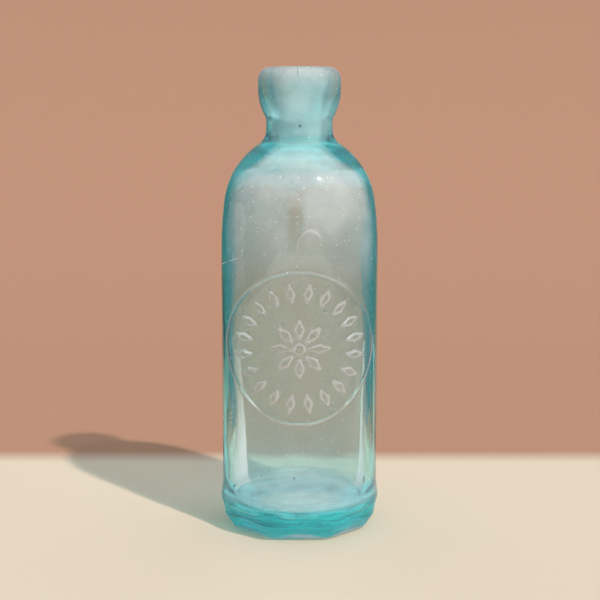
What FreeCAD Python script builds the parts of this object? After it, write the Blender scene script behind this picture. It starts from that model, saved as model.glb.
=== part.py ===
import FreeCAD, Part
import math
import os

# Blob-top soda bottle of thick, mould-blown glass, in millimetres.
# +Z is up, the origin is the centre of the base on the surface it stands on,
# and the round embossed plate faces -Y.

# Driving dimensions: overall
bottle_height = 175.5
body_radius = 29.9
body_wall = 4.2

# Driving dimensions: heel and foot. Insets are from the body's radius.
panel_count = 8
panel_foot_inset = 4.9
panel_crease_inset = 0.9
panel_top_inset = 0.6
panel_crease_z = 6.0
panel_top_z = 9.3
ledge_flare = 2.2
foot_fillet = 2.5
heel_bulge = 0.9
heel_bulge_z = 10.6
heel_fade_z = 18.0

# Driving dimensions: push-up under the base and floor inside
bearing_width = 3.0
push_up_flat_radius = 18.0
push_up_height = 1.0
floor_z = 9.4
floor_crown = 0.6
floor_fillet = 3.0

# Driving dimensions: shoulder, outside and inside
shoulder_break_angle = 7.0
shoulder_soft_radius = 157.0
shoulder_radius = 30.3
shoulder_arc_count = 5
shoulder_sweep_radius = 6.4
cavity_shoulder_radius = 16.0
bore_flare_width = 4.3
bore_flare_height = 2.3

# Driving dimensions: neck, lip and mouth. Depths are from the bottle's top.
neck_radius = 12.6
neck_length = 3.4
lip_radius = 15.65
lip_height = 19.7
lip_foot_radius = 2.2
lip_flare_angle = 30.0
crown_radius = 5.2
crown_turn_angle = 75.0
mouth_bevel = 0.85
mouth_bevel_drop = 1.3
mouth_funnel_depth = 7.5
mouth_funnel_taper = 1.75
mouth_throat_depth = 12.5
mouth_throat_taper = 0.25
bore_radius = 8.0
bore_top_depth = 17.4
bore_bottom_depth = 31.5

# Driving dimensions: embossed plate on the front
plate_drop = 33.0
plate_half_width = 27.0
plate_half_height = 28.3
plate_line_width = 1.1
relief_height = 0.4
relief_root = 0.6
wreath_radius = 20.5
wreath_lozenge_count = 20
wreath_lozenge_length = 6.6
wreath_lozenge_width = 2.6
star_ray_count = 8
star_inner_radius = 3.4
star_ray_length = 7.6
star_ray_width = 3.0
star_boss_radius = 1.9


def point(radius, z):
    return FreeCAD.Vector(radius, 0, z)


def line(start, end):
    return Part.LineSegment(start, end).toShape()


def turn_arc(start, heading, radius, turn):
    # An arc in the XZ plane that leaves start along heading (degrees from +X)
    # and turns left by turn degrees, or right when turn is negative.
    side = 1 if turn > 0 else -1
    to_centre = math.radians(heading + 90 * side)
    centre = start + FreeCAD.Vector(math.cos(to_centre), 0, math.sin(to_centre)) * radius

    def on_arc(share):
        angle = math.radians(heading - 90 * side + turn * share)
        return centre + FreeCAD.Vector(math.cos(angle), 0, math.sin(angle)) * radius

    end = on_arc(1)
    return Part.Arc(start, on_arc(0.5), end).toShape(), end


def chords(start, heading, radius, turn, count):
    # The same arc as a run of short straight edges, where it is tightly curved.
    edges = []
    for index in range(count):
        half_step = turn / count / 2
        direction = math.radians(heading + half_step * (2 * index + 1))
        length = 2 * radius * math.sin(math.radians(abs(half_step)))
        end = start + FreeCAD.Vector(math.cos(direction), 0, math.sin(direction)) * length
        edges.append(line(start, end))
        start = end
    return edges, start


def shoulder_lean():
    # The steepest lean, from the vertical, of a shoulder made of three tangent
    # arcs that starts upright at the body and ends upright at the neck.
    break_cosine = math.cos(math.radians(shoulder_break_angle))
    cosine = (neck_radius - body_radius + shoulder_soft_radius * (1 - break_cosine)
              + shoulder_radius * break_cosine + shoulder_sweep_radius)
    return math.degrees(math.acos(cosine / (shoulder_radius + shoulder_sweep_radius)))


def shoulder_start():
    # Where the straight body ends and the shoulder begins.
    break_sine = math.sin(math.radians(shoulder_break_angle))
    lean_sine = math.sin(math.radians(shoulder_lean()))
    height = (shoulder_soft_radius * break_sine + shoulder_radius * (lean_sine - break_sine)
              + shoulder_sweep_radius * lean_sine)
    return point(body_radius, bottle_height - lip_height - neck_length - height)


def shoulder_edges():
    # Three tangent arcs: a slow break, the round shoulder and the sweep to the neck.
    lean = shoulder_lean()
    soft, start = chords(shoulder_start(), 90, shoulder_soft_radius, shoulder_break_angle, 2)
    share = (lean - shoulder_break_angle) / shoulder_arc_count
    rounds = []
    for index in range(shoulder_arc_count):
        heading = 90 + shoulder_break_angle + share * index
        piece, start = turn_arc(start, heading, shoulder_radius, share)
        rounds.append(piece)
    sweep, neck_start = chords(start, 90 + lean, shoulder_sweep_radius, -lean, 5)
    return soft + rounds + sweep, neck_start


def heel_edges():
    # The wall swells into a soft ledge above the panels and fades into the body.
    ledge = point(body_radius + heel_bulge, heel_bulge_z)
    bottom = point(ledge.x, 0)
    fade_end = point(body_radius, heel_fade_z)
    return bottom, [line(bottom, ledge), line(ledge, fade_end)], fade_end


def lip_edges(neck_end):
    # A short hollow foot, a long bulging side, a rounded crown and the mouth's bevel.
    foot_start = point(neck_radius, bottle_height - lip_height)
    foot, foot_end = chords(foot_start, 90, lip_foot_radius, -lip_flare_angle, 2)
    rise = 1 - math.cos(math.radians(lip_flare_angle))
    side_radius = (lip_radius - foot_end.x) / rise
    side, side_end = chords(foot_end, 90 - lip_flare_angle, side_radius, lip_flare_angle, 5)
    crown_rise = crown_radius * math.sin(math.radians(crown_turn_angle))
    crown_start = point(lip_radius, bottle_height - crown_rise)
    crown, crown_end = chords(crown_start, 90, crown_radius, crown_turn_angle, 6)
    rim_end = point(crown_end.x - mouth_bevel, crown_end.z - mouth_bevel_drop)
    edges = ([line(neck_end, foot_start)] + foot + side + [line(side_end, crown_start)]
             + crown + [line(crown_end, rim_end)])
    return edges, rim_end


def mouth_edges(rim_end):
    # The finishing tool left a funnel that narrows in steps to the straight bore.
    throat_radius = bore_radius + mouth_throat_taper
    corners = [rim_end,
               point(bore_radius + mouth_funnel_taper, bottle_height - mouth_funnel_depth),
               point(throat_radius, bottle_height - mouth_throat_depth),
               point(bore_radius, bottle_height - bore_top_depth),
               point(bore_radius, bottle_height - bore_bottom_depth)]
    return [line(start, end) for start, end in zip(corners, corners[1:])], corners[-1]


def cavity_edges(bore_bottom):
    # The bore flares under a nearly flat ceiling, which turns down into the wall
    # and the thick floor. The floor rises a little towards its middle.
    cavity_radius = body_radius - body_wall
    flare_end = point(bore_radius + bore_flare_width, bore_bottom.z - bore_flare_height)
    lean = math.acos(1 - (cavity_radius - flare_end.x) / cavity_shoulder_radius)
    start = point(cavity_radius, flare_end.z - cavity_shoulder_radius * math.sin(lean))
    shoulder, ceiling_end = chords(start, 90, cavity_shoulder_radius, math.degrees(lean), 9)
    corner_end = point(cavity_radius - floor_fillet, floor_z)
    corner, corner_start = chords(corner_end, 0, floor_fillet, 90, 4)
    floor_middle = point(0, floor_z + floor_crown)
    edges = ([line(bore_bottom, ceiling_end)] + shoulder + [line(start, corner_start)]
             + corner + [line(corner_end, floor_middle)])
    return edges, floor_middle


def blown_body():
    # One closed half-section, turned about the bottle's axis.
    bottom, heel, heel_end = heel_edges()
    shoulder, neck_end = shoulder_edges()
    lip, rim_end = lip_edges(neck_end)
    mouth, bore_bottom = mouth_edges(rim_end)
    cavity, floor_middle = cavity_edges(bore_bottom)
    base_middle = point(0, 0)
    edges = ([line(base_middle, bottom)] + heel + [line(heel_end, shoulder_start())]
             + shoulder + lip + mouth + cavity + [line(floor_middle, base_middle)])
    section = Part.Face(Part.Wire(Part.__sortEdges__(edges)))
    return section.revolve(FreeCAD.Vector(0, 0, 0), FreeCAD.Vector(0, 0, 1), 360)


def panel_ring(inradius, z):
    # A polygon with one flat to the front.
    circumradius = inradius / math.cos(math.pi / panel_count)
    corners = []
    for index in range(panel_count + 1):
        angle = 2 * math.pi * (index + 0.5) / panel_count - math.pi / 2
        corners.append(FreeCAD.Vector(circumradius * math.cos(angle),
                                      circumradius * math.sin(angle), z))
    return Part.makePolygon(corners)


def panelled_block():
    # The heel's flats in two bands with a rounded foot. They lean out again at
    # the ledge, and above it the block is wider than the body.
    top_inradius = body_radius - panel_top_inset
    ledge_inradius = top_inradius + ledge_flare
    levels = [(body_radius - panel_foot_inset, 0),
              (body_radius - panel_crease_inset, panel_crease_z),
              (top_inradius, panel_top_z),
              (ledge_inradius, panel_top_z + ledge_flare), (ledge_inradius, bottle_height)]
    rings = [panel_ring(inradius, z) for inradius, z in levels]
    block = Part.makeLoft(rings, True, True)
    foot = [edge for edge in block.Edges
            if max(abs(vertex.Z) for vertex in edge.Vertexes) < 1e-6]
    return block.makeFillet(foot_fillet, foot)


def push_up():
    # A shallow flat recess in the base, which leaves a ring to stand on.
    push_up_radius = body_radius - panel_foot_inset - bearing_width
    return Part.makeCone(push_up_radius, push_up_flat_radius, push_up_height)


def front_skin(depth, height):
    # A layer over the front of the body, from depth inside to height outside.
    tall = shoulder_start().z - heel_fade_z
    base = FreeCAD.Vector(0, 0, heel_fade_z)
    outer = Part.makeCylinder(body_radius + height, tall, base)
    inner = Part.makeCylinder(body_radius - depth, tall, base)
    front = Part.makeBox(4 * body_radius, 2 * body_radius, bottle_height,
                         FreeCAD.Vector(-2 * body_radius, -2 * body_radius, 0))
    return outer.cut(inner).common(front)


def front_prism(wire):
    # An outline in the XZ plane pushed towards the viewer.
    return Part.Face(wire).extrude(FreeCAD.Vector(0, -2 * body_radius, 0))


def plate_centre():
    # The plate keeps its distance from the start of the shoulder.
    return FreeCAD.Vector(0, 0, shoulder_start().z - plate_drop)


def plate_ellipse(half_width, half_height):
    centre = plate_centre()
    upright = Part.Ellipse(centre + FreeCAD.Vector(0, 0, half_height),
                           centre + FreeCAD.Vector(half_width, 0, 0), centre)
    return Part.Wire(upright.toShape())


def plate_ring():
    half_line = plate_line_width / 2
    outer = front_prism(plate_ellipse(plate_half_width + half_line,
                                      plate_half_height + half_line))
    inner = front_prism(plate_ellipse(plate_half_width - half_line,
                                      plate_half_height - half_line))
    return outer.cut(inner)


def lozenge(length, width, distance, angle):
    # A pointed lozenge, set radially at distance from the plate's centre.
    tip = FreeCAD.Vector(length / 2, 0, 0)
    side = FreeCAD.Vector(0, 0, width / 2)
    shape = front_prism(Part.makePolygon([tip, side, -tip, -side, tip]))
    shape.translate(plate_centre() + FreeCAD.Vector(distance, 0, 0))
    shape.rotate(plate_centre(), FreeCAD.Vector(0, 1, 0), angle)
    return shape


def plate_ornament():
    # A wreath of lozenges about an eight-rayed star with a round boss.
    shapes = []
    for index in range(wreath_lozenge_count):
        angle = 360 * (index + 0.5) / wreath_lozenge_count
        shapes.append(lozenge(wreath_lozenge_length, wreath_lozenge_width, wreath_radius, angle))
    ray_distance = star_inner_radius + star_ray_length / 2
    for index in range(star_ray_count):
        angle = 360 * index / star_ray_count
        shapes.append(lozenge(star_ray_length, star_ray_width, ray_distance, angle))
    boss = Part.Wire(Part.Circle(plate_centre(), FreeCAD.Vector(0, 1, 0), star_boss_radius).toShape())
    return shapes + [front_prism(boss)]


def embossing():
    skin = front_skin(relief_root, relief_height)
    return [skin.common(shape) for shape in [plate_ring()] + plate_ornament()]


def bottle():
    glass = blown_body().common(panelled_block()).cut(push_up())
    return glass.fuse(embossing()).removeSplitter()


os.makedirs("parts", exist_ok=True)
shape = bottle()
solid = shape.Solids[0]
print("solids", len(shape.Solids), "volume", round(solid.Volume), "valid", solid.isValid())
solid.exportStep("parts/bottle.step")
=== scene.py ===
import math
import bmesh
import bpy
import numpy as np
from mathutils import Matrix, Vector


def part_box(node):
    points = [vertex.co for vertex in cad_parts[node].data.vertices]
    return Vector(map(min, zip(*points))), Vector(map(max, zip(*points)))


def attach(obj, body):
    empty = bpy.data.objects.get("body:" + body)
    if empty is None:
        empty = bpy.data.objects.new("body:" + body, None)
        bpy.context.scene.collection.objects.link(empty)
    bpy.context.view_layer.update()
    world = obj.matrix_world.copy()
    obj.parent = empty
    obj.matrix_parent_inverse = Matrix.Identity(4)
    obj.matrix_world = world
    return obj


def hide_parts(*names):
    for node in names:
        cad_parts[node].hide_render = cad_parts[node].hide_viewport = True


# Blob-top soda bottle of aqua glass on a pale studio floor. Shape sizes are in
# millimetres and become metres in makeMesh; materials and the studio are in metres.
# The embossed plate faces -Y.
mm = 0.001
sectionStep = 0.08
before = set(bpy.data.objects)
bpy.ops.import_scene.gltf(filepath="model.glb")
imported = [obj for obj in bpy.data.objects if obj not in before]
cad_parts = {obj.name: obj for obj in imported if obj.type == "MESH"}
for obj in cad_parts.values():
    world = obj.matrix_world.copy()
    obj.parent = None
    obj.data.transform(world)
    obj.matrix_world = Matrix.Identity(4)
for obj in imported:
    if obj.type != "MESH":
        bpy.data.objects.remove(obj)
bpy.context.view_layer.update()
lowCorner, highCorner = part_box("bottle")
bottleTop = highCorner.z / mm
heelRadius = highCorner.x / mm
print("frame loaded, bottle", round(bottleTop, 1), "mm tall")


# Runs along the bottle's half-section, as rows of (radius, height)

def lineRun(start, end):
    # straight: start plus share times the way to end
    count = max(2, int(math.dist(start, end) / sectionStep))
    share = np.linspace(0, 1, count + 1)[:, None]
    return np.array(start) + share * (np.array(end) - np.array(start))


def arcRun(start, heading, radius, turn):
    # circle: centre plus radius at an angle that runs through turn degrees
    side = 1 if turn > 0 else -1
    toCentre = math.radians(heading + 90 * side)
    centre = np.array(start) + radius * np.array([math.cos(toCentre), math.sin(toCentre)])
    count = max(4, int(radius * math.radians(abs(turn)) / sectionStep))
    angle = np.radians(heading - 90 * side + turn * np.linspace(0, 1, count + 1))
    return centre + radius * np.stack([np.cos(angle), np.sin(angle)], axis=1)


def joinRuns(runs):
    # ends that meet are kept once
    return np.concatenate([runs[0]] + [run[1:] for run in runs[1:]])


def evenRows(rows, step):
    # the same line with points a step apart
    lengths = np.concatenate([[0], np.cumsum(np.linalg.norm(np.diff(rows, axis=0), axis=1))])
    stations = np.linspace(0, lengths[-1], max(2, int(lengths[-1] / step)) + 1)
    return np.stack([np.interp(stations, lengths, rows[:, k]) for k in (0, 1)], axis=1)


def meltRows(rows, reach):
    # fire-polished corners: a Gaussian average of the line along its length, ends held
    even = evenRows(rows, sectionStep)
    half = int(3 * reach / sectionStep)
    weights = np.exp(-0.5 * (np.arange(-half, half + 1) * sectionStep / reach) ** 2)
    weights /= weights.sum()
    before = 2 * even[0] - even[half:0:-1]
    after = 2 * even[-1] - even[-2:-half - 2:-1]
    padded = np.concatenate([before, even, after])
    return np.stack([np.convolve(padded[:, k], weights, "valid") for k in (0, 1)], axis=1)


def chooseRows(rows, spacing):
    # rows closer together where spacing, given for each point, is small
    gaps = np.linalg.norm(np.diff(rows, axis=0), axis=1)
    counts = np.concatenate([[0], np.cumsum(gaps / (0.5 * (spacing[1:] + spacing[:-1])))])
    stations = np.linspace(0, counts[-1], int(round(counts[-1])) + 1)
    return np.stack([np.interp(stations, counts, rows[:, k]) for k in (0, 1)], axis=1)


shape = {
    "bodyRadius": 29.9, "wall": 4.2,
    "shoulderBreak": 7.0, "shoulderSoftRadius": 157.0, "shoulderRadius": 30.3,
    "sweepRadius": 6.4, "shoulderTop": 152.4,
    "neckRadius": 12.6, "lipRadius": 15.65, "lipFoot": 155.8, "lipFootRadius": 2.2,
    "lipFlare": 30.0, "crownRadius": 5.2, "crownTurn": 66.0, "rimRadius": 1.4,
    "boreRadius": 8.03, "boreTop": 158.1, "boreBottom": 144.0, "flareWidth": 4.3, "flareHeight": 2.3,
    "throat": 163.0, "throatTaper": 0.25, "funnel": 168.0, "funnelTaper": 1.75,
    "cavityRadius": 16.0,
    "floor": 9.4, "floorCrown": 0.6, "floorFillet": 3.0,
    "pushUpRadius": 22.0, "pushUpFlat": 17.0, "pushUpHeight": 1.0,
    "heelBulge": 10.6, "heelFade": 18.0,
    "outerMelt": 0.35, "innerMelt": 0.8,
}

panels = {
    "count": 8, "foot": 25.0, "crease": 29.0, "creaseHeight": 6.0, "top": 29.3,
    "topHeight": 9.3, "ledge": 2.2, "footFillet": 2.5, "melt": 0.8,
    "cornerPower": 26, "bulgePower": 60,
}


def shoulderRuns():
    # three tangent arcs from the straight body to the straight neck
    breakAngle = math.radians(shape["shoulderBreak"])
    soft, main, sweep = shape["shoulderSoftRadius"], shape["shoulderRadius"], shape["sweepRadius"]
    reach = (shape["neckRadius"] - shape["bodyRadius"] + soft * (1 - math.cos(breakAngle))
             + main * math.cos(breakAngle) + sweep)
    lean = math.acos(reach / (main + sweep))
    height = (soft * math.sin(breakAngle) + main * (math.sin(lean) - math.sin(breakAngle))
              + sweep * math.sin(lean))
    start = (shape["bodyRadius"], shape["shoulderTop"] - height)
    leanTurn = math.degrees(lean)
    softRun = arcRun(start, 90, soft, shape["shoulderBreak"])
    mainRun = arcRun(softRun[-1], 90 + shape["shoulderBreak"], main,
                     leanTurn - shape["shoulderBreak"])
    return [softRun, mainRun, arcRun(mainRun[-1], 90 + leanTurn, sweep, -leanTurn)]


def lipRuns(neckEnd):
    # hollow foot, bulging side, round crown and rim
    footStart = (shape["neckRadius"], shape["lipFoot"])
    foot = arcRun(footStart, 90, shape["lipFootRadius"], -shape["lipFlare"])
    sideRadius = (shape["lipRadius"] - foot[-1][0]) / (1 - math.cos(math.radians(shape["lipFlare"])))
    side = arcRun(foot[-1], 90 - shape["lipFlare"], sideRadius, shape["lipFlare"])
    crownSine = math.sin(math.radians(shape["crownTurn"]))
    crownStart = (shape["lipRadius"],
                  bottleTop - shape["crownRadius"] * crownSine - shape["rimRadius"] * (1 - crownSine))
    crown = arcRun(crownStart, 90, shape["crownRadius"], shape["crownTurn"])
    rim = arcRun(crown[-1], 90 + shape["crownTurn"], shape["rimRadius"], 180 - shape["crownTurn"])
    return [lineRun(neckEnd, footStart), foot, side, lineRun(side[-1], crownStart), crown, rim]


def insideRuns(rimEnd):
    # funnel mouth, throat, straight bore, flare, shoulder, wall and crowned floor
    cavity = shape["bodyRadius"] - shape["wall"]
    bore = shape["boreRadius"]
    mouth = [rimEnd, (bore + shape["funnelTaper"], shape["funnel"]),
             (bore + shape["throatTaper"], shape["throat"]), (bore, shape["boreTop"]),
             (bore, shape["boreBottom"]),
             (bore + shape["flareWidth"], shape["boreBottom"] - shape["flareHeight"])]
    lean = math.acos(1 - (cavity - mouth[-1][0]) / shape["cavityRadius"])
    start = (cavity, mouth[-1][1] - shape["cavityRadius"] * math.sin(lean))
    shoulder = arcRun(start, 90, shape["cavityRadius"], math.degrees(lean))[::-1]
    cornerTop = (cavity, shape["floor"] + shape["floorFillet"])
    corner = arcRun(cornerTop, 270, shape["floorFillet"], -90)
    return [lineRun(low, high) for low, high in zip(mouth, mouth[1:])] + [
        shoulder, lineRun(start, cornerTop), corner,
        lineRun(corner[-1], (0, shape["floor"] + shape["floorCrown"]))]


def outsideRows():
    # above the heel, from the straight body to the inside end of the rim
    shoulder = shoulderRuns()
    lip = lipRuns(shoulder[-1][-1])
    body = lineRun((shape["bodyRadius"], shape["heelFade"]), shoulder[0][0])
    return meltRows(joinRuns([body] + shoulder + lip), shape["outerMelt"]), lip[-1][-1]


def footRows():
    # the panels' own half-section: bearing ring, rounded foot, leaning band,
    # upright band and the flare under the ledge, as (distance of the flats, height)
    slope = math.atan2(panels["crease"] - panels["foot"], panels["creaseHeight"])
    tangent = panels["footFillet"] * math.tan((math.pi / 2 - slope) / 2)
    ringEnd = (panels["foot"] - tangent, 0.0)
    foot = arcRun(ringEnd, 0, panels["footFillet"], 90 - math.degrees(slope))
    crease = (panels["crease"], panels["creaseHeight"])
    top = (panels["top"], panels["topHeight"])
    flare = (panels["top"] + panels["ledge"], panels["topHeight"] + panels["ledge"])
    last = (flare[0], shape["heelFade"])
    ring = lineRun((shape["pushUpRadius"], 0.0), ringEnd)
    return meltRows(joinRuns([ring, foot, lineRun(foot[-1], crease), lineRun(crease, top),
                              lineRun(top, flare), lineRun(flare, last)]), panels["melt"])


def underRows():
    # push-up: height falls from the flat to the ring by a half cosine
    share = np.linspace(0, 1, grid["underCount"])
    radius = share * shape["pushUpRadius"]
    fall = np.clip((radius - shape["pushUpFlat"])
                   / (shape["pushUpRadius"] - shape["pushUpFlat"]), 0, 1)
    height = shape["pushUpHeight"] * 0.5 * (1 + np.cos(math.pi * fall))
    return np.stack([radius, height], axis=1)


def bulgeRadius(z):
    # the round limit of the heel: the bulge fades into the body by a half cosine
    fade = np.clip((z - shape["heelBulge"]) / (shape["heelFade"] - shape["heelBulge"]), 0, 1)
    return shape["bodyRadius"] + (heelRadius - shape["bodyRadius"]) * 0.5 * (1 + np.cos(math.pi * fade))


def panelRadius(theta, inradius, z):
    # soft intersection of eight planes, then of those with the round limit:
    # each is a power mean of the reciprocal radii
    reach = np.zeros(np.broadcast(theta, inradius).shape)
    for index in range(panels["count"]):
        facing = np.cos(theta - 2 * math.pi * index / panels["count"])
        reach = reach + np.clip(facing, 0, 1) ** panels["cornerPower"]
    flats = inradius * reach ** (-1 / panels["cornerPower"])
    power = panels["bulgePower"]
    return (flats ** -power + bulgeRadius(z) ** -power) ** (-1 / power)


plate = {
    "centre": 73.5, "halfWidth": 27.0, "halfHeight": 28.3, "lineWidth": 0.6, "height": 0.40,
    "wreathRadius": 20.5, "wreathCount": 20, "wreathLength": 6.6, "wreathWidth": 2.6,
    "starCount": 8, "starInner": 3.4, "starLength": 7.6, "starWidth": 3.0, "boss": 1.9,
    "lineSide": 1.5, "leafSide": 0.9, "bossSide": 0.6,
    "wornAngle": 0.49, "wornFrom": 0.86, "wornFade": 0.12, "wornDepth": 0.8,
    "rubSlope": 0.32, "lineRub": 0.9,
}


def smoothStep(value):
    # 3t^2 - 2t^3 on the clipped value
    t = np.clip(value, 0, 1)
    return t * t * (3 - 2 * t)


def lozengeHeight(x, z, distance, angle, length, width):
    # one minus the sum of the shares along and across the lozenge
    along = x * math.cos(angle) + z * math.sin(angle) - distance
    across = z * math.cos(angle) - x * math.sin(angle)
    inside = 1 - np.abs(along) / (length / 2) - np.abs(across) / (width / 2)
    return smoothStep(0.5 + inside * width / plate["leafSide"])


def plateRelief(theta, z, radius):
    # raised line, wreath and star as the highest of their heights, on the front only
    x = radius * np.sin(theta)
    dz = z - plate["centre"]
    ellipse = np.sqrt((x / plate["halfWidth"]) ** 2 + (dz / plate["halfHeight"]) ** 2)
    offLine = np.abs(ellipse - 1) * plate["halfWidth"] / (plate["lineWidth"] / 2)
    # the line is worn away at its upper right
    fromWorn = np.cos(np.arctan2(dz, x) - plate["wornAngle"])
    worn = plate["wornDepth"] * smoothStep((fromWorn - plate["wornFrom"]) / plate["wornFade"])
    line = smoothStep(plate["lineSide"] - offLine) * (1 - worn)
    height = np.zeros(line.shape)
    for index in range(plate["wreathCount"]):
        angle = 2 * math.pi * (index + 0.5) / plate["wreathCount"]
        height = np.maximum(height, lozengeHeight(x, dz, plate["wreathRadius"], angle,
                                                  plate["wreathLength"], plate["wreathWidth"]))
    for index in range(plate["starCount"]):
        angle = 2 * math.pi * index / plate["starCount"]
        distance = plate["starInner"] + plate["starLength"] / 2
        height = np.maximum(height, lozengeHeight(x, dz, distance, angle,
                                                  plate["starLength"], plate["starWidth"]))
    insideBoss = plate["boss"] - np.hypot(x, dz)
    height = np.maximum(height, smoothStep(0.5 + insideBoss / plate["bossSide"]))
    front = plate["height"] * (np.cos(theta) > 0)
    return line * front, height * front


scar = {
    "x": 3.8, "z": 110.4, "halfWidth": 4.6, "halfHeight": 6.0, "height": 0.3, "side": 1.4,
    "thin": 0.26, "thicker": 0.42, "thickAngle": 1.2, "thickPower": 6,
    "rightEnd": 0.1, "rightFade": 0.5, "leftEnd": 2.3, "leftFade": 0.6,
}


def scarRelief(theta, z, radius):
    # a crescent scar above the plate: a thin ring, open at its lower right
    x = radius * np.sin(theta) - scar["x"]
    dz = z - scar["z"]
    ring = np.hypot(x / scar["halfWidth"], dz / scar["halfHeight"])
    turn = np.arctan2(dz, x)
    toThick = np.clip(np.cos(turn - scar["thickAngle"]), 0, 1)
    thick = scar["thin"] + scar["thicker"] * toThick ** scar["thickPower"]
    height = smoothStep(scar["side"] - np.abs(ring - 1) * scar["halfWidth"] / thick)
    right = smoothStep((turn - scar["rightEnd"]) / scar["rightFade"])
    left = smoothStep((-turn - scar["leftEnd"]) / scar["leftFade"])
    return scar["height"] * height * np.clip(right + left, 0, 1) * (np.cos(theta) > 0)


def rubMask(relief):
    # worn pale edges: how steeply the relief rises between neighbours, from 0 to 1
    slopes = np.gradient(relief)
    return smoothStep(np.hypot(slopes[0], slopes[1]) / (plate["rubSlope"] * plate["height"]))


flow = {
    "outerSeed": 5, "outerWaves": 9, "outerDepth": 0.05, "settle": 10,
    "innerSeed": 11, "innerWaves": 12, "innerDepth": 0.28,
    "calmRadius": 12, "calmFrom": 8, "calmRise": 14, "aroundLimit": 9, "steepest": 0.11,
}


def flowWaves(theta, z, seed, count):
    # slow swells of the glass: a sum of seeded waves round and along the bottle
    dice = np.random.default_rng(seed)
    total = np.zeros(np.broadcast(theta, z).shape)
    for index in range(count):
        around = dice.integers(1, flow["aroundLimit"])
        along = dice.uniform(-flow["steepest"], flow["steepest"])
        phase = dice.uniform(0, 2 * math.pi)
        total = total + np.sin(around * theta + along * z + phase) / math.sqrt(around)
    return total / math.sqrt(count)


# angles in degrees, the rest steps, margins and limits of the finer parts
grid = {
    "frontAngle": 68, "frontStep": 0.95, "backStep": 2.8, "underCount": 60,
    "plateStep": 0.52, "footStep": 0.55, "underStep": 1.8, "bodyStep": 2.0, "shoulderStep": 1.1,
    "lipStep": 0.7, "boreStep": 1.0, "insideStep": 1.3, "wallStep": 3.0, "cornerStep": 0.7,
    "plateMargin": 1.5, "heelMargin": 2, "neckMargin": 6, "boreMargin": 5, "mouthMargin": 3,
    "shoulderFrom": 122, "insideShoulderFrom": 118, "floorRadius": 20, "floorTop": 60,
}


def columnAngles():
    # angles from the front, closer together across the plate
    front = np.radians(grid["frontAngle"])
    fine = np.linspace(-front, front, int(2 * grid["frontAngle"] / grid["frontStep"]) + 1)
    coarse = np.linspace(front, 2 * math.pi - front,
                         int((360 - 2 * grid["frontAngle"]) / grid["backStep"]) + 1)
    return np.concatenate([fine, coarse[1:-1]])


def outsideSpacing(z):
    # fine from under the plate to above the scar
    plateLow = plate["centre"] - plate["halfHeight"] - grid["plateMargin"]
    plateHigh = scar["z"] + scar["halfHeight"] + grid["plateMargin"]
    spacing = np.full(len(z), grid["bodyStep"])
    spacing[(z > plateLow) & (z < plateHigh)] = grid["plateStep"]
    spacing[z > grid["shoulderFrom"]] = grid["shoulderStep"]
    spacing[z > shape["shoulderTop"] - grid["neckMargin"]] = grid["lipStep"]
    return spacing


def insideSpacing(rows):
    radius, z = rows[:, 0], rows[:, 1]
    spacing = np.full(len(rows), grid["wallStep"])
    spacing[z > grid["insideShoulderFrom"]] = grid["insideStep"]
    spacing[z > shape["boreBottom"] - grid["boreMargin"]] = grid["boreStep"]
    spacing[z > bottleTop - grid["mouthMargin"]] = grid["lipStep"]
    spacing[z < shape["floor"] + shape["floorFillet"]] = grid["cornerStep"]
    spacing[(radius < grid["floorRadius"]) & (z < grid["floorTop"])] = grid["insideStep"]
    return spacing


def outsideSkin(theta):
    # radius, height and wear of the body, shoulder, neck and lip, and where the rim ends
    rows, rimEnd = outsideRows()
    rows = chooseRows(rows, outsideSpacing(rows[:, 1]))[1:]
    height = rows[:, 1:]
    radius = rows[:, :1] * np.ones_like(theta)
    line, ornament = plateRelief(theta, height, radius)
    crescent = scarRelief(theta, height, radius)
    radius = radius + np.maximum(np.maximum(line, ornament), crescent)
    settle = smoothStep((height - shape["heelFade"]) / flow["settle"])
    waves = flowWaves(theta, height, flow["outerSeed"], flow["outerWaves"])
    radius = radius + flow["outerDepth"] * settle * waves
    worn = np.maximum(line, crescent) / plate["height"] * plate["lineRub"]
    return radius, height, np.maximum(worn, rubMask(ornament)), rimEnd


def insideSkin(theta, rimEnd):
    # swells fade out towards the bore and the floor
    rows = meltRows(joinRuns(insideRuns(rimEnd)), shape["innerMelt"])
    rows = chooseRows(rows, insideSpacing(rows))[1:-1]
    radius, height = rows[:, :1], rows[:, 1:]
    swell = flow["innerDepth"] * flowWaves(theta, height, flow["innerSeed"], flow["innerWaves"])
    calm = smoothStep((radius - shape["boreRadius"]) / flow["calmRadius"]) * smoothStep(
        (height - flow["calmFrom"]) / flow["calmRise"])
    return radius + swell * calm, height


def bottleSurface():
    # the whole skin as rows by columns: under, heel, outside, inside
    theta = columnAngles()[None, :]
    wide = np.ones_like(theta)
    under = chooseRows(underRows(), np.full(grid["underCount"], grid["underStep"]))[1:-1]
    foot = footRows()
    aboveHeel = foot[:, 1] > shape["heelBulge"] + grid["heelMargin"]
    foot = chooseRows(foot, np.where(aboveHeel, grid["bodyStep"], grid["footStep"]))
    footRadius = panelRadius(theta, foot[:, :1], foot[:, 1:])
    outsideRadius, outsideHeight, worn, rimEnd = outsideSkin(theta)
    insideRadius, insideHeight = insideSkin(theta, rimEnd)
    radius = np.concatenate([under[:, :1] * wide, footRadius, outsideRadius, insideRadius])
    height = np.concatenate([under[:, 1:], foot[:, 1:], outsideHeight, insideHeight]) * wide
    rub = np.zeros(radius.shape)
    first = len(under) + len(foot)
    rub[first:first + len(worn)] = worn
    return theta, radius, height, rub


def makeMesh(name, points, faces):
    mesh = bpy.data.meshes.new(name)
    mesh.from_pydata((points * mm).tolist(), [], faces)
    mesh.update()
    mesh.polygons.foreach_set("use_smooth", np.ones(len(mesh.polygons), dtype=bool))
    piece = bpy.data.objects.new(name, mesh)
    bpy.context.scene.collection.objects.link(piece)
    return piece


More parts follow.
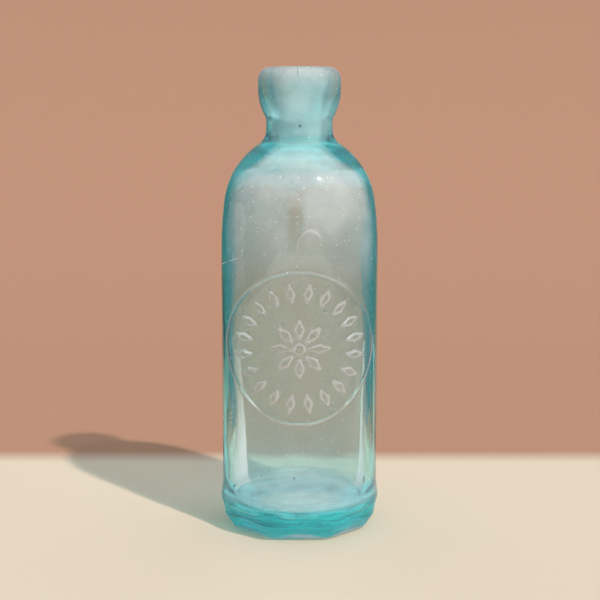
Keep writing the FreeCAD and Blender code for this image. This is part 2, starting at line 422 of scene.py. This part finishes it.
def skinMesh():
    # radius and height over the angle grid, closed by a pole at each end
    theta, radius, height, rub = bottleSurface()
    rows, columns = radius.shape
    points = np.stack([radius * np.sin(theta), -radius * np.cos(theta), height], axis=2)
    poles = np.array([[0, 0, shape["pushUpHeight"]], [0, 0, shape["floor"] + shape["floorCrown"]]])
    points = np.concatenate([points.reshape(-1, 3), poles])
    row = np.arange(rows - 1)[:, None] * columns
    here = np.arange(columns)[None, :]
    after = (here + 1) % columns
    quads = np.stack([row + here, row + after, row + columns + after, row + columns + here], axis=2)
    faces = quads.reshape(-1, 4).tolist()
    first, last = rows * columns, rows * columns + 1
    for k in range(columns):
        faces.append([first, (k + 1) % columns, k])
        faces.append([last, (rows - 1) * columns + k, (rows - 1) * columns + (k + 1) % columns])
    return points, faces, rub.ravel()


seeds = {
    "count": 190, "diceSeed": 23, "smallest": 0.13, "largest": 0.42, "stretch": 1.5,
    "lowest": 14, "highest": 141, "margin": 0.65, "sizeRoom": 1.2, "leastPlay": 0.05,
}


def seedBubbles(firstIndex):
    # round voids in the wall: each is an icosahedron split once, faces turned inwards
    ball = bmesh.new()
    bmesh.ops.create_icosphere(ball, subdivisions=2, radius=1)
    ballPoints = np.array([vertex.co[:] for vertex in ball.verts])
    ballFaces = np.array([[vertex.index for vertex in face.verts][::-1] for face in ball.faces])
    ball.free()
    dice = np.random.default_rng(seeds["diceSeed"])
    outside, rimEnd = outsideRows()
    outside = outside[outside[:, 1] < seeds["highest"]]
    inside = meltRows(joinRuns(insideRuns(rimEnd)), shape["innerMelt"])[::-1]
    inside = inside[(inside[:, 1] > seeds["lowest"]) & (inside[:, 1] < seeds["highest"])]
    points, faces = [], []
    for index in range(seeds["count"]):
        z = dice.uniform(seeds["lowest"], seeds["highest"])
        size = seeds["smallest"] + (seeds["largest"] - seeds["smallest"]) * dice.random() ** 3
        outer = np.interp(z, outside[:, 1], outside[:, 0])
        inner = np.interp(z, inside[:, 1], inside[:, 0])
        nearest = inner + seeds["margin"] + size * seeds["sizeRoom"]
        furthest = outer - seeds["margin"] - size * seeds["sizeRoom"]
        depth = dice.uniform(nearest, max(nearest + seeds["leastPlay"], furthest))
        angle = dice.uniform(0, 2 * math.pi)
        scale = np.array([size, size, size * dice.uniform(1, seeds["stretch"])])
        centre = np.array([depth * math.sin(angle), -depth * math.cos(angle), z])
        points.append(ballPoints * scale + centre)
        faces.append(ballFaces + firstIndex + index * len(ballPoints))
    return np.concatenate(points), np.concatenate(faces).tolist()


def makeBottle():
    points, faces, rub = skinMesh()
    bubblePoints, bubbleFaces = seedBubbles(len(points))
    print("skin", len(faces), "faces, bubbles", len(bubbleFaces), "faces")
    piece = makeMesh("aquaBottle", np.concatenate([points, bubblePoints]), faces + bubbleFaces)
    wear = piece.data.attributes.new("rub", "FLOAT", "POINT")
    values = np.zeros(len(piece.data.vertices), dtype=np.float32)
    values[:len(rub)] = rub
    wear.data.foreach_set("value", values)
    return piece


# Materials

class Socket:
    # wraps an output socket so that shader maths reads as an expression
    def __init__(self, maker, output):
        self.maker = maker
        self.output = output

    def math(self, operation, first, second):
        node = self.maker.node("ShaderNodeMath", {"operation": operation}, {0: first, 1: second})
        return node.output()

    def __add__(self, other):
        return self.math("ADD", self, other)

    def __sub__(self, other):
        return self.math("SUBTRACT", self, other)

    def __mul__(self, other):
        return self.math("MULTIPLY", self, other)

    def __rsub__(self, other):
        return self.math("SUBTRACT", other, self)

    __radd__ = __add__
    __rmul__ = __mul__


class Maker:
    # builds the nodes of one material or world
    def __init__(self, owner):
        owner.use_nodes = True
        self.owner = owner
        self.tree = owner.node_tree
        self.tree.nodes.clear()

    def node(self, kind, settings=None, inputs=None):
        made = self.tree.nodes.new(kind)
        for key, value in (settings or {}).items():
            setattr(made, key, value)
        for key, value in (inputs or {}).items():
            if isinstance(value, Socket):
                self.tree.links.new(value.output, made.inputs[key])
            else:
                made.inputs[key].default_value = value
        return Made(self, made)


class Made:
    # a node whose outputs are picked by name or number
    def __init__(self, maker, node):
        self.maker = maker
        self.node = node

    def output(self, key=0):
        return Socket(self.maker, self.node.outputs[key])


def spread(maker, source, low, high, toLow, toHigh):
    # a straight map from one range to another, clipped
    return maker.node("ShaderNodeMapRange", {"clamp": True},
                      {"Value": source, "From Min": low, "From Max": high,
                       "To Min": toLow, "To Max": toHigh}).output()


def rising(maker, source, band, most=1.0):
    # 0 below the band, most above it
    return spread(maker, source, band[0], band[1], 0.0, most)


def falling(maker, source, band, most=1.0):
    # most below the band, 0 above it
    return spread(maker, source, band[0], band[1], most, 0.0)


def blend(maker, share, first, second):
    # the first colour at share 0, the second at 1
    return maker.node("ShaderNodeMix", {"data_type": "RGBA"},
                      {0: share, 6: first, 7: second}).output(2)


def noise(maker, place, scale, detail):
    return maker.node("ShaderNodeTexNoise", {},
                      {"Vector": place, "Scale": scale, "Detail": detail}).output("Fac")


def vectorMath(maker, operation, first, second, output=0):
    node = maker.node("ShaderNodeVectorMath", {"operation": operation}, {0: first, 1: second})
    return node.output(output)


def axesOf(maker, place):
    # across, along and height
    apart = maker.node("ShaderNodeSeparateXYZ", {}, {"Vector": place})
    return [apart.output(axis) for axis in "XYZ"]


def objectPlace(maker):
    return maker.node("ShaderNodeTexCoord").output("Object")


glass = {
    "tint": (0.0, 0.865, 0.912, 1), "density": 62.0, "ior": 1.52, "lampPass": 0.45,
    "coat": 0.10, "coatRoughness": 0.13,
    "rippleScale": 160, "rippleDetail": 1.0, "rippleHeight": 0.00003,
    "hazeScale": 45, "hazeDetail": 3.0, "hazeBand": (0.4, 0.75), "haze": 0.05,
    "outsideSquares": (0.00070, 0.00076), "outsideHeights": (0.118, 0.130),
}

# glass seen edge-on is deeper in colour, with painted light on the body's right edge
# and painted shade on the lip's edges: each band is where one tone turns into the next
rim = {
    "color": (0.09, 0.86, 0.87, 1), "rightLitColor": (0.34, 0.88, 0.90, 1),
    "lipShadeColor": (0.78, 0.74, 0.69, 1), "facing": (0.49, 0.69), "inside": 0.15,
    "shoulderShift": 0.20, "shoulderHeights": (0.134, 0.143),
    "shiftSquares": (0.00004, 0.00025), "shiftMiddle": 0.5, "shiftSide": 1.5,
    "rightAcross": (0.0, 0.02), "rightHeights": (0.100, 0.135), "lipHeights": (0.153, 0.158),
}

# a thin film over the glass, of dust and of painted light: covers from 0 to 1, and the bands
# where they come and go
dustAndLight = {
    "color": (0.95, 0.84, 0.90, 1), "coolDustAndSkyColor": (0.98, 0.915, 0.94, 1),
    "coolHeights": (0.095, 0.125), "film": 0.04, "edgeClean": 0.95, "rub": 0.30,
    # shoulder: dust haze together with painted sky light
    "shoulderFilmAndSkyLight": 0.24, "shoulderRise": (0.095, 0.122), "shoulderFall": (0.139, 0.146),
    # crown: a painted band of bright aqua sky light on the shoulder's crown
    "crownPaintedLight": 0.30, "crownRise": (0.138, 0.142), "crownFall": (0.1465, 0.1495),
    "crownLightColor": (0.74, 0.95, 0.95, 1), "crownColorRise": (0.136, 0.142),
    "crownColorFall": (0.147, 0.150),
    "lipFilm": 0.12, "lipRise": (0.147, 0.152), "rimFilm": 0.20, "rimRise": (0.168, 0.174),
    "boreFilm": 0.70, "boreSquares": (0.00010, 0.00013), "boreRise": (0.142, 0.148),
    "boreFacing": (0.20, 0.32), "boreLeft": 0.15,
    # heel: painted aqua light gathered in the heel
    "heelPaintedLight": 0.27, "heelPaintedLightColor": (0.09, 0.84, 0.87, 1), "heelFall": (0.0115, 0.0155),
    "layerScales": (60, 60, 700), "layerDetail": 3.0, "layerBand": (0.35, 0.65),
    "layerLeast": 0.25, "layerMost": 1.6,
    "floorFilm": 0.18, "floorRise": (0.0045, 0.0060), "floorFall": (0.008, 0.034),
    "cleanAcross": -0.0014, "cleanBand": (0.0016, 0.0042), "cleanShare": 0.8,
    "cleanRise": (0.106, 0.115), "cleanFall": (0.1235, 0.1270),
    "smudgeScale": 55, "smudgeDetail": 5.0, "smudgeBand": (0.3, 0.7),
    "smudgeLeast": 0.45, "smudgeMost": 1.55,
}

specks = {"scale": 480, "size": 0.13, "core": 0.6, "chosen": (0.42, 0.44), "cover": 0.66}

# small marks on the front, two scratches by the left edge, a painted highlight on the lip and a
# painted streak of light on the left: start and end as (x, z) and half width in mm, and cover
scratchesAndPaintedLight = [
    # scratches by the left edge
    ((-29.6, 101.8), (-27.4, 103.4), 0.14, 0.75),
    ((-26.2, 103.9), (-22.6, 105.7), 0.13, 0.7),
    # painted highlight on the lip
    ((0.1, 174.6), (0.3, 172.2), 0.10, 0.45),
    # painted streak of light seen through the left wall
    ((-21.8, 124.0), (-22.2, 96.0), 2.6, 0.13),
]
darkMarks = [
    ((0.1, 153.9), (0.3, 153.5), 0.45, 0.6),
    ((-0.7, 174.9), (-0.5, 172.2), 0.16, 0.55),
    ((-0.5, 172.2), (0.0, 169.6), 0.12, 0.28),
    ((-25.0, 18.4), (-24.3, 19.0), 0.32, 0.7),
    ((24.2, 20.3), (24.4, 22.2), 0.30, 0.7),
]
markCore = 0.5
markFront = (-0.001, 0.0)
darkMarkColor = (0.03, 0.05, 0.05, 1)


def outerMask(maker, place):
    # 1 on the outside of the body and on all of the shoulder and neck, 0 on the body's inside
    across, along, height = axesOf(maker, place)
    outside = rising(maker, across * across + along * along, glass["outsideSquares"])
    above = rising(maker, height, glass["outsideHeights"])
    return maker.node("ShaderNodeMath", {"operation": "MAXIMUM"}, {0: outside, 1: above}).output()


def markCover(maker, place, outer, marks):
    # covers of the marks by the distance to each straight run, seen from the front
    flat = vectorMath(maker, "MULTIPLY", place, (1, 0, 1))
    total = 0
    for start, end, width, cover in marks:
        first = Vector((start[0], 0, start[1])) * mm
        run = Vector((end[0], 0, end[1])) * mm - first
        away = vectorMath(maker, "SUBTRACT", flat, first)
        share = vectorMath(maker, "DOT_PRODUCT", away, run / run.length_squared, "Value")
        foot = maker.node("ShaderNodeVectorMath", {"operation": "SCALE"},
                          {0: run, "Scale": rising(maker, share, (0.0, 1.0))}).output()
        gap = vectorMath(maker, "DISTANCE", away, foot, "Value")
        total = total + falling(maker, gap, (width * mm * markCore, width * mm), cover)
    along = axesOf(maker, place)[1]
    return total * falling(maker, along, markFront) * outer


def shoulderHazeAndSkyLight(maker, across, height):
    # dust haze and painted sky light on the shoulder, with a clean streak down its middle
    near = maker.node("ShaderNodeMath", {"operation": "ABSOLUTE"},
                      {0: across - dustAndLight["cleanAcross"]}).output()
    clean = falling(maker, near, dustAndLight["cleanBand"], dustAndLight["cleanShare"]) * rising(
        maker, height, dustAndLight["cleanRise"]) * falling(maker, height, dustAndLight["cleanFall"])
    haze = rising(maker, height, dustAndLight["shoulderRise"]) * falling(maker, height, dustAndLight["shoulderFall"])
    return haze * (1 - clean) * dustAndLight["shoulderFilmAndSkyLight"]


def paintedHeelLightLayers(maker, place, height):
    # painted aqua light on the heel, in level streaks of noise
    stretched = vectorMath(maker, "MULTIPLY", place, dustAndLight["layerScales"])
    layers = spread(maker, noise(maker, stretched, 1.0, dustAndLight["layerDetail"]), *dustAndLight["layerBand"],
                    dustAndLight["layerLeast"], dustAndLight["layerMost"])
    return falling(maker, height, dustAndLight["heelFall"], dustAndLight["heelPaintedLight"]) * layers


def speckCover(maker, place):
    # round dots in some of the cells
    cells = maker.node("ShaderNodeTexVoronoi", {}, {"Vector": place, "Scale": specks["scale"]})
    dice = maker.node("ShaderNodeSeparateColor", {}, {"Color": cells.output("Color")}).output("Red")
    reach = (specks["size"] * specks["core"], specks["size"])
    dot = falling(maker, cells.output("Distance"), reach, specks["cover"])
    return dot * rising(maker, dice, specks["chosen"])


def dustAndLightCover(maker, place, facing, edge, outer):
    # film of shoulder, crown, bore, lip and floor, smudged by noise, then the heel's
    # layers, specks and the worn edges of the relief; the shoulder's film is partly painted
    # light, and the crown's and the heel's are painted light
    across, along, height = axesOf(maker, place)
    # painted sky light: a bright band on the shoulder's crown
    crown = rising(maker, height, dustAndLight["crownRise"]) * falling(
        maker, height, dustAndLight["crownFall"], dustAndLight["crownPaintedLight"])
    film = shoulderHazeAndSkyLight(maker, across, height) + dustAndLight["film"] + crown
    film = film * (1 - edge * dustAndLight["edgeClean"])
    # the bore's film shows only where the glass isn't a mirror
    bore = falling(maker, across * across + along * along, dustAndLight["boreSquares"]) * rising(
        maker, height, dustAndLight["boreRise"]) * spread(maker, facing, *dustAndLight["boreFacing"], 1.0, dustAndLight["boreLeft"])
    lip = rising(maker, height, dustAndLight["lipRise"], dustAndLight["lipFilm"]) + rising(
        maker, height, dustAndLight["rimRise"], dustAndLight["rimFilm"])
    # sediment on the inside of the floor and low on the wall
    low = rising(maker, height, dustAndLight["floorRise"]) * falling(
        maker, height, dustAndLight["floorFall"]) * (1 - outer) * dustAndLight["floorFilm"]
    film = film + bore * dustAndLight["boreFilm"] + lip + low
    smudge = spread(maker, noise(maker, place, dustAndLight["smudgeScale"], dustAndLight["smudgeDetail"]),
                    *dustAndLight["smudgeBand"], dustAndLight["smudgeLeast"], dustAndLight["smudgeMost"])
    rub = maker.node("ShaderNodeAttribute", {"attribute_name": "rub"}).output("Fac") * dustAndLight["rub"]
    return film * smudge + paintedHeelLightLayers(maker, place, height) + speckCover(maker, place) + rub


def dustAndLightTone(maker, height, outer):
    # warm below, cool on the shoulder, aqua on its crown and on the heel; the cool shoulder is
    # partly painted light, the crown and the heel are painted light
    cool = rising(maker, height, dustAndLight["coolHeights"])
    tone = blend(maker, cool, dustAndLight["color"], dustAndLight["coolDustAndSkyColor"])
    crown = rising(maker, height, dustAndLight["crownColorRise"]) * falling(
        maker, height, dustAndLight["crownColorFall"])
    tone = blend(maker, crown, tone, dustAndLight["crownLightColor"])
    # painted light: aqua tone on the heel
    heel = falling(maker, height, dustAndLight["heelFall"], outer)
    return blend(maker, heel, tone, dustAndLight["heelPaintedLightColor"])


def rimShare(maker, facing, across, height, outer):
    # how far the glass is seen edge-on: sooner at the sides of the shoulder, less inside
    shift = rising(maker, height, rim["shoulderHeights"], rim["shoulderShift"]) * spread(
        maker, across * across, *rim["shiftSquares"], rim["shiftMiddle"], rim["shiftSide"])
    edge = rising(maker, facing + shift, rim["facing"])
    return edge * spread(maker, outer, 0.0, 1.0, rim["inside"], 1.0)


def rimTone(maker, across, height):
    # painted light: the body's right edge is paler; painted shade: the lip's edges are warm grey
    toRight = rising(maker, across, rim["rightAcross"]) * falling(maker, height, rim["rightHeights"])
    tone = blend(maker, toRight, rim["color"], rim["rightLitColor"])
    return blend(maker, rising(maker, height, rim["lipHeights"]), tone, rim["lipShadeColor"])


def aquaGlass():
    maker = Maker(bpy.data.materials.new("aquaGlass"))
    place = objectPlace(maker)
    across, _, height = axesOf(maker, place)
    facing = maker.node("ShaderNodeLayerWeight", {}, {"Blend": 0.5}).output("Facing")
    outer = outerMask(maker, place)
    edge = rimShare(maker, facing, across, height, outer)
    ripple = noise(maker, place, glass["rippleScale"], glass["rippleDetail"])
    bump = maker.node("ShaderNodeBump", {}, {"Height": ripple, "Distance": glass["rippleHeight"],
                                             "Strength": 1.0}).output()
    haze = rising(maker, noise(maker, place, glass["hazeScale"], glass["hazeDetail"]),
                  glass["hazeBand"], glass["haze"])
    clear = maker.node("ShaderNodeBsdfPrincipled", {}, {
        "Base Color": blend(maker, edge, (1, 1, 1, 1), rimTone(maker, across, height)),
        "Roughness": haze, "IOR": glass["ior"], "Transmission Weight": 1.0,
        "Coat Weight": glass["coat"], "Coat Roughness": glass["coatRoughness"],
        "Normal": bump}).output()
    # the film: dust, haze and wear, with painted light on the shoulder, its crown and the heel
    film = maker.node("ShaderNodeBsdfPrincipled", {}, {
        "Base Color": dustAndLightTone(maker, height, outer), "Roughness": 1.0,
        "Specular IOR Level": 0.0}).output()
    # the pale marks hold two scratches, a painted highlight and a painted streak of light
    cover = dustAndLightCover(maker, place, facing, edge, outer) + markCover(maker, place, outer, scratchesAndPaintedLight)
    # clear glass under the film of dust, wear and painted light
    worn = maker.node("ShaderNodeMixShader", {}, {0: cover, 1: clear, 2: film}).output()
    # dark diffuse marks on the front: by the lip, under it and on the heel
    darkMarkShader = maker.node("ShaderNodeBsdfDiffuse", {}, {"Color": darkMarkColor}).output()
    worn = maker.node("ShaderNodeMixShader", {}, {0: markCover(maker, place, outer, darkMarks),
                                                  1: worn, 2: darkMarkShader}).output()
    absorb = maker.node("ShaderNodeVolumeAbsorption", {},
                        {"Color": glass["tint"], "Density": glass["density"]}).output()
    # lamps pass the surface, so that the shadow is the glass's own colour
    passing = maker.node("ShaderNodeBsdfTransparent", {},
                         {"Color": (glass["lampPass"],) * 3 + (1,)}).output()
    shadowRay = maker.node("ShaderNodeLightPath").output("Is Shadow Ray")
    surface = maker.node("ShaderNodeMixShader", {}, {0: shadowRay, 1: worn, 2: passing}).output()
    maker.node("ShaderNodeOutputMaterial", {}, {"Surface": surface, "Volume": absorb})
    return maker.owner


# Studio and camera

# distance and height in millimetres, pitch in degrees
camera = {
    "focalPixels": 1290, "framePixels": 600, "sensor": 36.0, "pitch": 8.1,
    "distance": 490.8, "height": 157.2, "shiftPixels": 0.5, "clipStart": 0.01,
}

studio = {
    "nearColor": (0.81, 0.68, 0.545, 1), "farColor": (0.52, 0.285, 0.195, 1), "roughness": 0.9,
    "fadeStart": 0.085, "fadeEnd": 0.105, "halfWidth": 0.62, "front": -1.2, "flatEnd": 0.35,
    "sweepRadius": 1.3, "wallTop": 3.2, "sweepSteps": 32, "wedgeSlope": 0.25, "drop": 0.00003,
    # below: a painted pool of light, as emission on the floor under the bottle
    "seam": 0.0001, "paintedPoolColor": (1.0, 0.42, 0.30, 1), "paintedPoolStrength": 1.1,
    "paintedPoolBand": (0.012, 0.020),
}

sky = {
    "color": (0.86, 0.94, 1.0, 1), "sideColor": (0.12, 0.25, 0.25, 1), "heights": (0.12, 0.55),
    "front": 0.62, "back": 1.0, "depths": (0.1, 0.7), "mirrorDim": 0.6,
}

sun = {"angle": 2.0, "strength": 2.1, "color": (1.0, 0.94, 0.86), "direction": (0.52, -0.62, 0.85)}

bounces = {"all": 24, "glossy": 12}

# light cards seen only through the glass; the left one fades into the backdrop along Y
cards = {
    "leftCard": {
        "corners": [(-0.026, 0.036, 0.0002), (-0.046, 0.028, 0.0002), (-0.270, 0.36, 0.0002),
                    (-0.120, 0.36, 0.0002)],
        "color": (1.0, 0.64, 0.60, 1), "strength": 1.45, "fade": (0.10, 0.24), "faded": 0.85,
    },
    "rightCard": {
        "corners": [(0.032, 0.036, 0.0002), (0.040, 0.032, 0.0002), (0.230, 0.36, 0.0002),
                    (0.180, 0.36, 0.0002)],
        "color": (1.0, 0.68, 0.64, 1), "strength": 1.25,
    },
    "skyCard": {
        "corners": [(-0.40, -0.20, 0.65), (0.40, -0.20, 0.65), (0.40, 0.80, 0.65),
                    (-0.40, 0.80, 0.65)],
        "color": (1.0, 0.62, 0.60, 1), "strength": 2.4,
    },
}

# an arc of light on the floor round the front of the heel, seen only through the glass
heelLight = {
    "inner": 0.018, "outer": 0.066, "spread": 140, "steps": 32, "height": -0.000015,
    "color": (0.5, 1.0, 1.0, 1), "strength": 0.8,
}

# the back card rises from the backdrop's own tone to a bright sky tone
screen = {
    "halfWidth": 0.36, "along": 0.80, "low": 0.085, "mid": 0.125, "bend": 0.16, "high": 0.32,
    "top": 0.62, "lowColor": (0.53, 0.30, 0.20, 1), "midColor": (0.62, 0.62, 0.55, 1),
    "highColor": (0.68, 0.65, 0.66, 1), "strength": 1.0,
}


def stageMaterial():
    # pale by the bottle and warm further back, by the distance along Y, with a painted
    # pool of light (emission) on the floor under the bottle, standing in for the light the bottle gathers
    maker = Maker(bpy.data.materials.new("stagePaint"))
    place = objectPlace(maker)
    back = rising(maker, axesOf(maker, place)[1], (studio["fadeStart"], studio["fadeEnd"]))
    distance = maker.node("ShaderNodeVectorMath", {"operation": "LENGTH"},
                          {0: place}).output("Value")
    # painted pool of light: full near the bottle's axis, gone past the band
    under = falling(maker, distance, studio["paintedPoolBand"])
    surface = maker.node("ShaderNodeBsdfPrincipled", {}, {
        "Base Color": blend(maker, back, studio["nearColor"], studio["farColor"]),
        "Roughness": studio["roughness"], "Specular IOR Level": 0.0,
        "Emission Color": blend(maker, under, (0, 0, 0, 1), studio["paintedPoolColor"]),
        "Emission Strength": studio["paintedPoolStrength"]}).output()
    maker.node("ShaderNodeOutputMaterial", {}, {"Surface": surface})
    return maker.owner


def stageSweep(material):
    # floor, a quarter circle up and a straight wall in one sheet; past the fade it is a
    # wedge from the camera, a little wider than the view
    turn = np.linspace(0, math.pi / 2, studio["sweepSteps"])
    radius = studio["sweepRadius"]
    ledge = studio["fadeEnd"]
    along = np.concatenate([[studio["front"], ledge - studio["seam"], ledge],
                            studio["flatEnd"] + radius * np.sin(turn),
                            [studio["flatEnd"] + radius]])
    height = np.concatenate([[0, 0, 0], radius * (1 - np.cos(turn)),
                             [studio["wallTop"]]]) - studio["drop"]
    rows = len(along)
    wedge = (along + camera["distance"] * mm) * studio["wedgeSlope"]
    side = np.where(along < ledge, studio["halfWidth"], wedge)
    points = np.concatenate([np.stack([sign * side, along, height], axis=1)
                             for sign in (-1, 1)])
    faces = [[k, rows + k, rows + k + 1, k + 1] for k in range(rows - 1)]
    piece = makeMesh("studioSweep", points / mm, faces)
    piece.data.materials.append(material)


def cardColor(maker, card):
    if "fade" not in card:
        return card["color"]
    along = axesOf(maker, objectPlace(maker))[1]
    return blend(maker, rising(maker, along, card["fade"], card["faded"]), card["color"],
                 studio["farColor"])


def screenColor(maker, card):
    height = axesOf(maker, objectPlace(maker))[2]
    lower = blend(maker, rising(maker, height, (card["low"], card["mid"])),
                  card["lowColor"], card["midColor"])
    return blend(maker, rising(maker, height, (card["bend"], card["high"])),
                 lower, card["highColor"])


def stageCard(name, corners, card, makeColor):
    # corners run along one edge and back along the other, with quads between them
    maker = Maker(bpy.data.materials.new(name))
    light = maker.node("ShaderNodeEmission", {}, {"Color": makeColor(maker, card),
                                                  "Strength": card["strength"]}).output()
    maker.node("ShaderNodeOutputMaterial", {}, {"Surface": light})
    half = len(corners) // 2
    faces = [[k, k + 1, len(corners) - 2 - k, len(corners) - 1 - k] for k in range(half - 1)]
    piece = makeMesh(name, np.array(corners) / mm, faces)
    piece.data.materials.append(maker.owner)
    piece.visible_camera = False
    piece.visible_diffuse = False
    piece.visible_glossy = False
    piece.visible_shadow = False


def makeWorld():
    # a bright pale sky over dimmer sides, by the height of the direction
    world = bpy.data.worlds.new("studioWorld")
    bpy.context.scene.world = world
    maker = Maker(world)
    direction = maker.node("ShaderNodeTexCoord").output("Generated")
    _, depth, height = axesOf(maker, direction)
    color = blend(maker, rising(maker, height, sky["heights"]), sky["sideColor"], sky["color"])
    strength = spread(maker, depth, *sky["depths"], sky["front"], sky["back"])
    # reflections of the sky are held back, as the photo shows few
    ray = maker.node("ShaderNodeLightPath")
    mirrored = ray.output("Is Glossy Ray") * (1 - ray.output("Is Transmission Ray"))
    strength = strength * (1 - mirrored * sky["mirrorDim"])
    light = maker.node("ShaderNodeBackground", {}, {"Color": color, "Strength": strength}).output()
    maker.node("ShaderNodeOutputWorld", {}, {"Surface": light})


def makeSun():
    lamp = bpy.data.lights.new("keyLamp", "SUN")
    lamp.energy = sun["strength"]
    lamp.color = sun["color"]
    lamp.angle = math.radians(sun["angle"])
    holder = bpy.data.objects.new("keyLamp", lamp)
    bpy.context.scene.collection.objects.link(holder)
    holder.rotation_euler = Vector(sun["direction"]).to_track_quat("Z", "Y").to_euler()


def makeStudio():
    stageSweep(stageMaterial())
    for name, card in cards.items():
        stageCard(name, card["corners"], card, cardColor)
    side, low, top = screen["halfWidth"], screen["low"], screen["top"]
    corners = [(x, screen["along"], z)
               for x, z in ((-side, low), (side, low), (side, top), (-side, top))]
    stageCard("backCard", corners, screen, screenColor)
    turn = np.radians(np.linspace(-heelLight["spread"], heelLight["spread"], heelLight["steps"]))
    arc = [(radius * math.sin(angle), -radius * math.cos(angle), heelLight["height"])
           for radius, angles in ((heelLight["outer"], turn), (heelLight["inner"], turn[::-1]))
           for angle in angles]
    stageCard("heelCard", arc, heelLight, cardColor)
    makeWorld()
    makeSun()
    print("studio built")


def makeCamera():
    lens = bpy.data.cameras.new("photoCamera")
    holder = bpy.data.objects.new("photoCamera", lens)
    bpy.context.scene.collection.objects.link(holder)
    lens.sensor_width = camera["sensor"]
    lens.lens = camera["focalPixels"] / camera["framePixels"] * camera["sensor"]
    lens.clip_start = camera["clipStart"]
    lens.shift_x = camera["shiftPixels"] / camera["framePixels"]
    holder.location = (0, -camera["distance"] * mm, camera["height"] * mm)
    holder.rotation_euler = (math.radians(90 - camera["pitch"]), 0, 0)
    bpy.context.scene.camera = holder


def makeRenderSettings():
    scene = bpy.context.scene
    scene.view_settings.view_transform = "Standard"
    scene.cycles.max_bounces = bounces["all"]
    scene.cycles.transmission_bounces = bounces["all"]
    scene.cycles.glossy_bounces = bounces["glossy"]
    scene.cycles.transparent_max_bounces = bounces["all"]


bottle = makeBottle()
bottle.data.materials.append(aquaGlass())
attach(bottle, "root")
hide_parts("bottle")
print("bottle built")
makeStudio()
makeCamera()
makeRenderSettings()
print("scene built")
